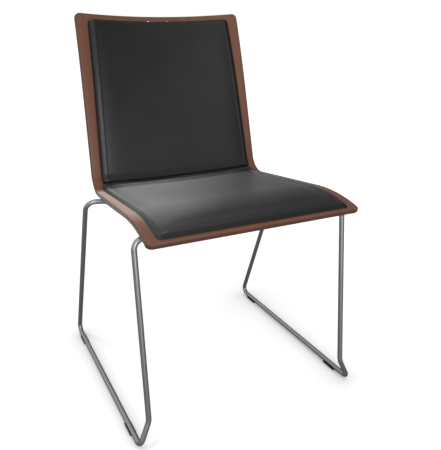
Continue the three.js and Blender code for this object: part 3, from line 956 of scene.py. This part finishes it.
def mixed(material, factor, first, second, blend_type="MIX"):
    made = add(material, "ShaderNodeMix", data_type="RGBA", blend_type=blend_type)
    for index, value in ((0, factor), (6, first), (7, second)):
        if isinstance(value, (int, float, tuple)):
            made.inputs[index].default_value = value
        else:
            wire(material, value, made.inputs[index])
    return made.outputs[2]


def bumped(material, shader, height, strength, distance, after=None):
    bump = add(material, "ShaderNodeBump", {"Strength": strength, "Distance": distance})
    wire(material, height, bump.inputs["Height"])
    if after is not None:
        wire(material, after, bump.inputs["Normal"])
    wire(material, bump.outputs["Normal"], shader.inputs["Normal"])
    return bump.outputs["Normal"]


def glossed(material, shader, source, low, high):
    """Roughness that goes between two levels with a pattern."""
    gloss = add(material, "ShaderNodeMapRange", {"To Min": low, "To Max": high})
    wire(material, source, gloss.inputs["Value"])
    wire(material, gloss.outputs["Result"], shader.inputs["Roughness"])


def object_place(material):
    return add(material, "ShaderNodeTexCoord").outputs["Object"]


print("mid brown in linear light:", [round(value, 3) for value in paint(125, 88, 70)[:3]])

# %% [markdown]
# ## Walnut veneer
# The veneer is one flat leaf whose grain runs from the front of the seat over the crook to the top.
# Three noises, each stretched along the sheet, give broad bands, fine streaks and short dark pores.
# The satin lacquer shows in the roughness, which is lower where the streaks are dark. On the edge, the
# seven plies show as fine stripes: where the stored height lies between the two faces, the stripes take
# over from the veneer.

# %% The walnut finish
PLIES = 7
VENEER_DEPTH = 0.5 * MM


def walnut_finish():
    material, shader = new_finish("walnut_veneer", paint(128, 84, 64), 0.4)
    flat = add(material, "ShaderNodeAttribute", attribute_name="flat").outputs["Vector"]
    bands = stretched_noise(material, flat, (38, 1.6, 1), detail=3, roughness=0.5, distortion=0.6)
    streaks = stretched_noise(material, flat, (330, 7, 1), detail=5, roughness=0.62, distortion=0.2)
    pores = stretched_noise(material, flat, (1500, 62, 1), detail=2, roughness=0.5)
    browns = [(0.25, paint(120, 77, 58)), (0.5, paint(128, 84, 64)), (0.75, paint(135, 90, 70))]
    veneer = ramp(material, bands, browns)
    streak_tone = ramp(material, streaks, [(0.3, grey(0.86)), (0.55, grey(1.0)), (0.75, grey(1.05))])
    pore_tone = ramp(material, pores, [(0.28, grey(0.72)), (0.38, grey(1.0))])
    veneer = mixed(material, 1.0, veneer, streak_tone, "MULTIPLY")
    veneer = mixed(material, 0.8, veneer, pore_tone, "MULTIPLY")
    height = add(material, "ShaderNodeSeparateXYZ")
    wire(material, flat, height.inputs["Vector"])
    depth = math_node(material, "MULTIPLY", height.outputs["Z"], -1 / SHELL_THICKNESS)
    layer = math_node(material, "FRACT", math_node(material, "MULTIPLY", depth, PLIES), 0)
    stripe = [(0, paint(62, 38, 28)), (0.12, paint(92, 60, 46)), (0.5, paint(102, 68, 53))]
    plies = ramp(material, layer, stripe + [(0.9, paint(88, 57, 44))])
    below = math_node(material, "GREATER_THAN", depth, VENEER_DEPTH / SHELL_THICKNESS)
    above = math_node(material, "LESS_THAN", depth, 1 - VENEER_DEPTH / SHELL_THICKNESS)
    on_edge = math_node(material, "MULTIPLY", below, above)
    wire(material, mixed(material, on_edge, veneer, plies), shader.inputs["Base Color"])
    glossed(material, shader, streaks, 0.34, 0.5)
    tune(shader, Specular_IOR_Level=0.36, Sheen_Weight=0.2, Sheen_Roughness=0.3)
    bumped(material, shader, pores, 0.12, 0.05 * MM)
    return material


walnut = walnut_finish()
dress(shell, walnut)
print("walnut nodes:", len(walnut.node_tree.nodes))

# %% [markdown]
# ## The cover of the pads
# The cover has a smooth charcoal leather look, with a fine pebbled grain that only close views show.
# Voronoi cells under a millimetre wide make the pebbles, and their hollows are painted a little darker as
# painted shade. A slow noise shifts colour and gloss a little, as handling does. A thin coat sharpens the
# highlights, and a little sheen lightens the surface
# where it is seen at a grazing angle.

# %% The cover finish
def cover_finish():
    material, shader = new_finish("pad_cover", paint(31, 31, 32), 0.42)
    place = object_place(material)
    pebble = add(material, "ShaderNodeTexVoronoi", {"Scale": 1050.0, "Randomness": 1.0}, feature="SMOOTH_F1")
    wire(material, place, pebble.inputs["Vector"])
    slow = stretched_noise(material, place, (14, 14, 14), detail=3, roughness=0.55)
    fine = stretched_noise(material, place, (420, 420, 420), detail=3, roughness=0.6)
    tone = ramp(material, slow, [(0.3, paint(28, 28, 29)), (0.7, paint(33, 33, 34))])
    # The hollows between the pebbles are painted darker: painted shade in the grain.
    pebble_hollow_shade = ramp(material, pebble.outputs["Distance"], [(0.25, grey(1.0)), (0.75, grey(0.86))])
    wire(material, mixed(material, 1.0, tone, pebble_hollow_shade, "MULTIPLY"), shader.inputs["Base Color"])
    glossed(material, shader, slow, 0.36, 0.48)
    tune(shader, Specular_IOR_Level=0.36, Sheen_Weight=0.15, Sheen_Roughness=0.3)
    tune(shader, Coat_Weight=0.1, Coat_Roughness=0.15)
    grain = bumped(material, shader, pebble.outputs["Distance"], 0.22, -0.12 * MM)
    bumped(material, shader, fine, 0.06, 0.15 * MM, after=grain)
    return material


cover = cover_finish()
for pad in (seat_pad, back_pad):
    dress(pad, cover)
print("cover nodes:", len(cover.node_tree.nodes))

# %% [markdown]
# ## Metal and plastic
# The rods are steel with a satin plating, so they mirror the room softly. Fine noise breaks up the gloss.
# Screws and inserts are zinc plated, and the glides and studs are black moulded plastic.

# %% Steel, zinc, plastic and raw plywood
def metal_finish(name, colour, roughness, spread):
    material, shader = new_finish(name, colour, roughness, metallic=1.0)
    place = object_place(material)
    fine = stretched_noise(material, place, (700, 700, 700), detail=4, roughness=0.65)
    slow = stretched_noise(material, place, (22, 22, 22), detail=2, roughness=0.5)
    cloudy = mixed(material, 0.5, fine, slow)
    glossed(material, shader, cloudy, roughness - spread, roughness + spread)
    bumped(material, shader, fine, 0.02, 0.04 * MM)
    return material


def plastic_finish():
    material, shader = new_finish("black_plastic", paint(26, 27, 29), 0.5)
    place = object_place(material)
    spark = stretched_noise(material, place, (1600, 1600, 1600), detail=2, roughness=0.5)
    tone = ramp(material, spark, [(0.3, paint(22, 23, 25)), (0.7, paint(32, 33, 35))])
    wire(material, tone, shader.inputs["Base Color"])
    bumped(material, shader, spark, 0.15, 0.06 * MM)
    return material


def raw_ply_finish():
    material, shader = new_finish("raw_plywood", paint(178, 146, 108), 0.75)
    place = object_place(material)
    grain = stretched_noise(material, place, (240, 9, 240), detail=4, roughness=0.6)
    tone = ramp(material, grain, [(0.3, paint(160, 126, 90)), (0.7, paint(190, 158, 120))])
    wire(material, tone, shader.inputs["Base Color"])
    return material


steel = metal_finish("satin_steel", paint(162, 163, 165), 0.44, 0.04)
zinc = metal_finish("zinc_plate", paint(176, 178, 180), 0.36, 0.07)
plastic = plastic_finish()
raw_ply = raw_ply_finish()
for pieces, finish in ((rods + beads, steel), (screws, zinc), (glides, plastic)):
    for piece in pieces:
        dress(piece, finish)

carried_over = {"_plate": steel, "_insert": zinc, "_board": raw_ply, "_stud": plastic}
for node_name, node_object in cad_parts.items():
    for ending, finish in carried_over.items():
        if ending in node_name:
            dress(node_object, finish)
print("materials:", sorted(material.name for material in bpy.data.materials))

# %% [markdown]
# ## The studio
# The photograph has a white ground with the faintest of shadows. Its reflections show a room that is
# bright on the left and dark on the right: the seat shines at its left rear corner, and the right edges of
# the rods are dark. So the world is white to the camera, evenly grey to matt surfaces, and goes from light
# to dark across the room for mirror rays only. A matt white floor glows a little for the camera, less where
# the rods come close, which gives the soft contact shadow. Two lamps shape the form from the front and
# from above. Two more stand behind the chair and cast no shadow: one lays the sheen over the pads, and a
# lower, warmer one lays it over the wood.

# %% The floor
FLOOR_SIZE = 40
FLOOR_PAINT = paint(175, 175, 175)
FLOOR_SEEN = grey(0.95)
NEAR_GLOW = 0.62
FAR_GLOW = 0.8
FRONT_GLOW = 0.12
BACK_LEFT_GLOW = 0.9
BACK_RIGHT_SHARE = 0.4
SHADOW_REACH = 0.3
SHADOW_DEPTH = 0.8


def eased(material, value, start, end, at_start, at_end, way="SMOOTHSTEP"):
    """A value that goes from one level to another between two places, and stays there."""
    levels = {"From Min": start, "From Max": end, "To Min": at_start, "To Max": at_end}
    ease = add(material, "ShaderNodeMapRange", levels, interpolation_type=way)
    wire(material, value, ease.inputs["Value"])
    return ease.outputs["Result"]


bpy.ops.object.select_all(action="DESELECT")
bpy.ops.mesh.primitive_plane_add(size=FLOOR_SIZE, location=(0, 0, 0))
floor = named("studio_floor")
floor_material, floor_shader = new_finish("studio_floor", FLOOR_PAINT, 1.0)
tune(floor_shader, Specular_IOR_Level=0.0, Emission_Color=grey(1.0))
floor_ray = add(floor_material, "ShaderNodeLightPath")
floor_place = object_place(floor_material)
floor_axes = add(floor_material, "ShaderNodeSeparateXYZ")
wire(floor_material, floor_place, floor_axes.inputs["Vector"])
far_away = add(floor_material, "ShaderNodeVectorMath", operation="LENGTH")
wire(floor_material, floor_place, far_away.inputs[0])
white_out = eased(floor_material, far_away.outputs["Value"], 0.6, 1.8, NEAR_GLOW, FAR_GLOW)
# For mirror rays only, the floor glows in front of the chair and behind it on the left: a painted reflection
# that shiny parts show.
in_front = eased(floor_material, floor_axes.outputs["Y"], -1.6, -0.4, FRONT_GLOW, 0)
behind = eased(floor_material, floor_axes.outputs["Y"], 0.6, 1.2, 0, BACK_LEFT_GLOW)
on_the_left = eased(floor_material, floor_axes.outputs["X"], -0.6, 0.1, 1, BACK_RIGHT_SHARE)
back_left = math_node(floor_material, "MULTIPLY", behind, on_the_left)
mirrored = math_node(floor_material, "ADD", in_front, back_left)
openness = add(floor_material, "ShaderNodeAmbientOcclusion", {"Distance": SHADOW_REACH}, samples=16)
wide = eased(floor_material, openness.outputs["AO"], 0.95, 1.0, SHADOW_DEPTH, 1.0, "LINEAR")
shaded = math_node(floor_material, "MULTIPLY", wide, openness.outputs["AO"])
soft_white = math_node(floor_material, "MULTIPLY", white_out, shaded)
seen_glow = math_node(floor_material, "MULTIPLY", floor_ray.outputs["Is Camera Ray"], soft_white)
mirror_glow = math_node(floor_material, "MULTIPLY", floor_ray.outputs["Is Glossy Ray"], mirrored)
floor_glow = math_node(floor_material, "ADD", seen_glow, mirror_glow)
wire(floor_material, floor_glow, floor_shader.inputs["Emission Strength"])
floor_tone = mixed(floor_material, floor_ray.outputs["Is Camera Ray"], FLOOR_PAINT, FLOOR_SEEN)
wire(floor_material, floor_tone, floor_shader.inputs["Base Color"])
dress(floor, floor_material)
print("floor:", floor.name)

# %% The world
AMBIENT = 0.4
ROOM_LEFT = 0.85
ROOM_RIGHT = 0.08

world = bpy.data.worlds.new("studio")
bpy.context.scene.world = world
world.use_nodes = True
world.node_tree.nodes.clear()
heading = add(world, "ShaderNodeTexCoord").outputs["Generated"]
side_of_room = add(world, "ShaderNodeSeparateXYZ")
wire(world, heading, side_of_room.inputs["Vector"])
room = eased(world, side_of_room.outputs["X"], -0.1, 0.8, ROOM_LEFT, ROOM_RIGHT)
ray = add(world, "ShaderNodeLightPath")
seen = math_node(world, "MAXIMUM", ray.outputs["Is Camera Ray"], ray.outputs["Is Transmission Ray"])
lit_or_mirrored = add(world, "ShaderNodeMix", {2: AMBIENT}, data_type="FLOAT")
wire(world, ray.outputs["Is Glossy Ray"], lit_or_mirrored.inputs[0])
wire(world, room, lit_or_mirrored.inputs[3])
strength = add(world, "ShaderNodeMix", {3: 1.0}, data_type="FLOAT")
wire(world, seen, strength.inputs[0])
wire(world, lit_or_mirrored.outputs[0], strength.inputs[2])
ground = add(world, "ShaderNodeBackground", {"Color": grey(1.0)})
wire(world, strength.outputs[0], ground.inputs["Strength"])
wire(world, ground.outputs["Background"], add(world, "ShaderNodeOutputWorld").inputs["Surface"])
print("world nodes:", len(world.node_tree.nodes))

# %% Lamps
SEAT_MIDDLE = (-0.05, 0, 0.44)
CHAIR_MIDDLE = (0, 0, 0.5)
WARM = (1, 0.84, 0.78)


def soft_lamp(name, place, aim, size, power):
    bpy.ops.object.light_add(type="AREA", location=place)
    lamp = bpy.context.object
    lamp.name = name
    lamp.data.shape = "DISK"
    lamp.data.size = size
    lamp.data.energy = power
    lamp.rotation_euler = (Vector(aim) - Vector(place)).to_track_quat("-Z", "Y").to_euler()
    return lamp


def sheen_lamp(name, place, size, power, pieces):
    """An oval lamp behind the chair. It casts no shadow and lights only the pieces named."""
    lamp = soft_lamp(name, place, SEAT_MIDDLE, size[0], power)
    lamp.data.shape = "ELLIPSE"
    lamp.data.size_y = size[1]
    lamp.data.use_shadow = False
    lamp.data.cycles.use_multiple_importance_sampling = False
    group = bpy.data.collections.new(name)
    for piece in pieces:
        group.objects.link(piece)
    lamp.light_linking.receiver_collection = group
    return lamp


sheen_lamp("pad_sheen_lamp", (0.37, 1.75, 1.27), (1.05, 1.6), 6.3, (seat_pad, back_pad))
wood_lamp = sheen_lamp("wood_sheen_lamp", (0.3, 1.75, 0.88), (0.9, 0.85), 6.4, (shell,))
wood_lamp.data.color = WARM
soft_lamp("front_fill", (-0.3, -2.1, 0.85), CHAIR_MIDDLE, 1.4, 21)
soft_lamp("top_lamp", (-0.5, -0.15, 2.2), CHAIR_MIDDLE, 0.15, 4)

# %% [markdown]
# ## The camera
# The chair is the same on both sides, so pairs of matching corners in the photograph fix the place, the
# turn and the lens of the camera that took it.

# %% The camera
CAMERA_PLACE = (-0.4948, -1.06941, 0.7719)
CAMERA_TURN = (math.radians(90 - 19.95), 0, math.radians(-26.67))
CAMERA_LENS = 45.09
bpy.ops.object.camera_add(location=CAMERA_PLACE, rotation=CAMERA_TURN)
camera = bpy.context.object
camera.name = "photo_view"
camera.data.sensor_fit = "HORIZONTAL"
camera.data.sensor_width = 36
camera.data.lens = CAMERA_LENS
bpy.context.scene.camera = camera
bpy.context.scene.view_settings.view_transform = "Standard"
print("camera at", CAMERA_PLACE)
